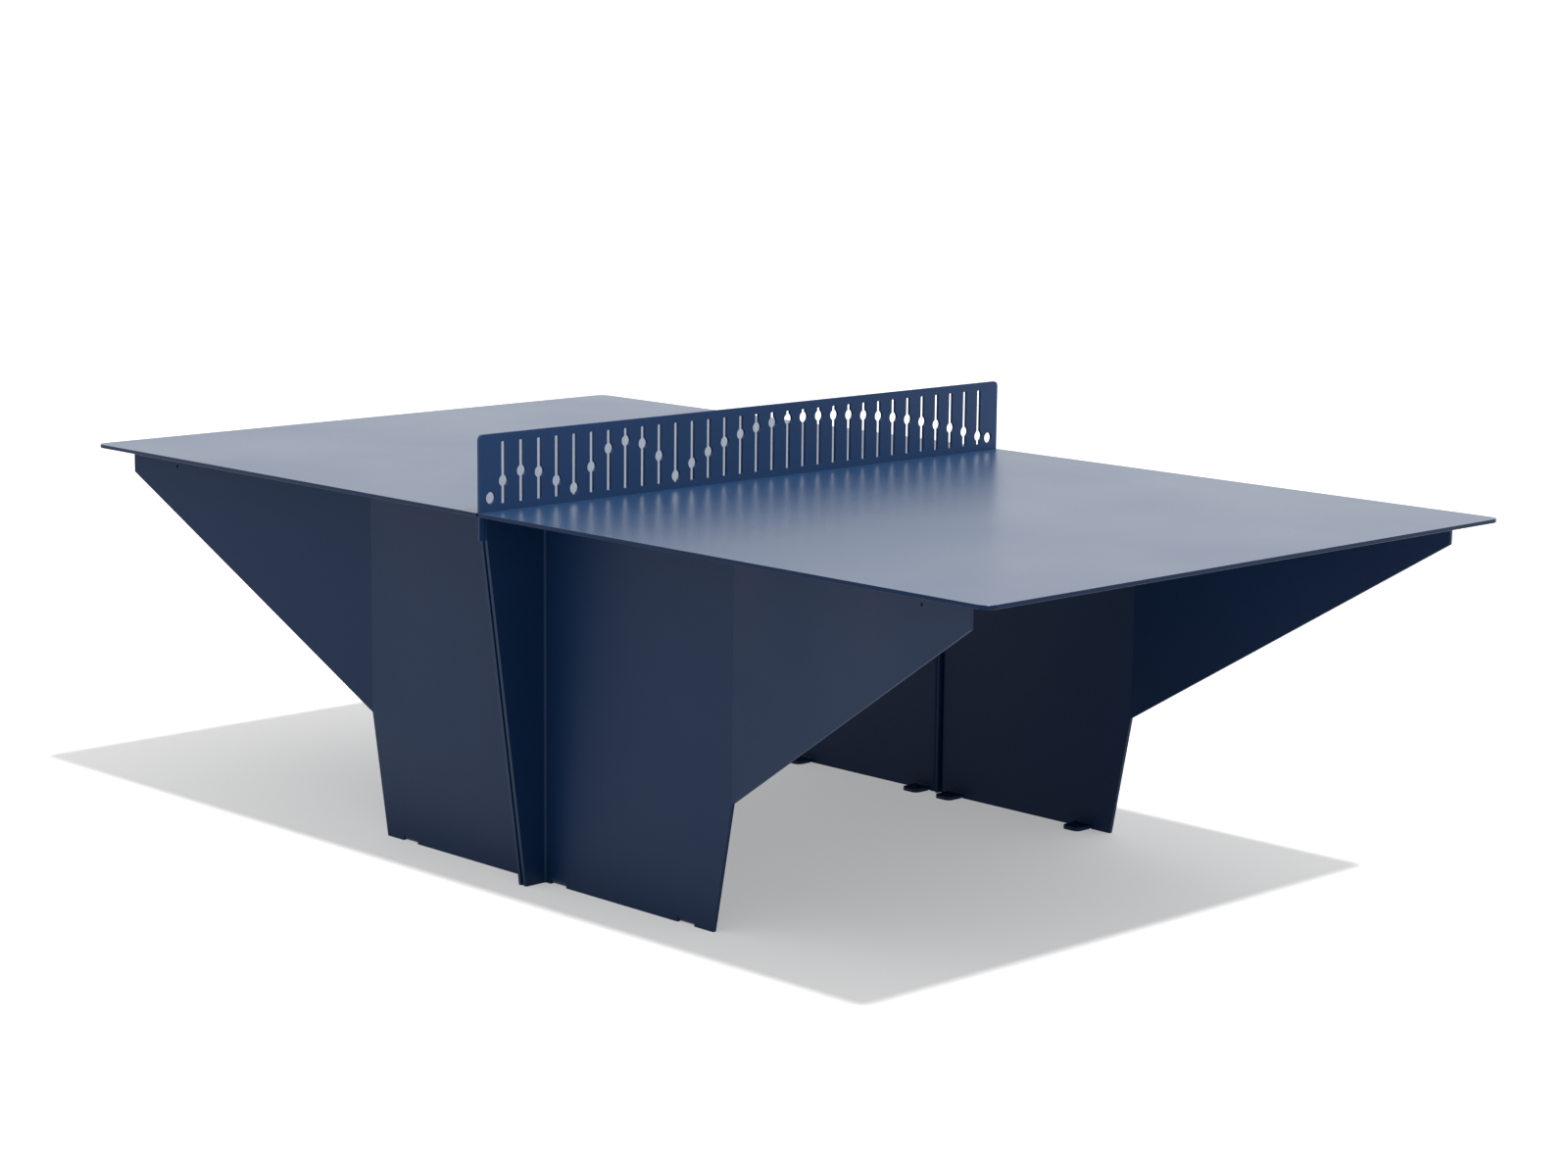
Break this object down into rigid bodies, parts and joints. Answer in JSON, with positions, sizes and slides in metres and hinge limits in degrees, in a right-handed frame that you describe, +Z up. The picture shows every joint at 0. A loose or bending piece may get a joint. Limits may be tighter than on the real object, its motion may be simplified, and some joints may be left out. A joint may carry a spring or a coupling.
{
  "type": "ping pong table",
  "caption": "Outdoor ping pong table of folded steel sheet: two flat playing halves on splayed side panels, with a slotted upright net plate between them.",
  "frame": {"origin": "on the floor, under the middle of the table and the net", "axes": "+X along the table's length towards its right end, +Y along the net towards the back side, +Z up"},
  "size_m": [2.74, 1.525, 0.938],
  "materials": {
    "top_paint": "fine-grained satin powder coat, dark navy blue, smoother than the panels' coat",
    "navy_paint": "fine-grained semi-matt powder coat, dark navy blue",
    "zinc_plate": "bright zinc plate"
  },
  "bodies": {
    "root": {"tabletop_left": "top_paint", "tabletop_right": "top_paint", "net_plate": "navy_paint", "panel_front_left": "navy_paint", "panel_front_right": "navy_paint", "panel_back_left": "navy_paint", "panel_back_right": "navy_paint", "spacer_front": "navy_paint", "spacer_back": "navy_paint", "top_stud_front_left_1": "zinc_plate", "top_stud_front_left_2": "zinc_plate", "top_stud_front_left_3": "zinc_plate", "top_stud_front_left_4": "zinc_plate", "top_stud_front_right_1": "zinc_plate", "top_stud_front_right_2": "zinc_plate", "top_stud_front_right_3": "zinc_plate", "top_stud_front_right_4": "zinc_plate", "top_stud_back_left_1": "zinc_plate", "top_stud_back_left_2": "zinc_plate", "top_stud_back_left_3": "zinc_plate", "top_stud_back_left_4": "zinc_plate", "top_stud_back_right_1": "zinc_plate", "top_stud_back_right_2": "zinc_plate", "top_stud_back_right_3": "zinc_plate", "top_stud_back_right_4": "zinc_plate", "top_nut_front_left_1": "zinc_plate", "top_nut_front_left_2": "zinc_plate", "top_nut_front_left_3": "zinc_plate", "top_nut_front_left_4": "zinc_plate", "top_nut_front_right_1": "zinc_plate", "top_nut_front_right_2": "zinc_plate", "top_nut_front_right_3": "zinc_plate", "top_nut_front_right_4": "zinc_plate", "top_nut_back_left_1": "zinc_plate", "top_nut_back_left_2": "zinc_plate", "top_nut_back_left_3": "zinc_plate", "top_nut_back_left_4": "zinc_plate", "top_nut_back_right_1": "zinc_plate", "top_nut_back_right_2": "zinc_plate", "top_nut_back_right_3": "zinc_plate", "top_nut_back_right_4": "zinc_plate", "fin_stud_front_1": "zinc_plate", "fin_stud_front_2": "zinc_plate", "fin_stud_front_3": "zinc_plate", "fin_stud_front_4": "zinc_plate", "fin_stud_back_1": "zinc_plate", "fin_stud_back_2": "zinc_plate", "fin_stud_back_3": "zinc_plate", "fin_stud_back_4": "zinc_plate", "fin_nut_front_1": "zinc_plate", "fin_nut_front_2": "zinc_plate", "fin_nut_front_3": "zinc_plate", "fin_nut_front_4": "zinc_plate", "fin_nut_back_1": "zinc_plate", "fin_nut_back_2": "zinc_plate", "fin_nut_back_3": "zinc_plate", "fin_nut_back_4": "zinc_plate"}
  },
  "joints": []
}
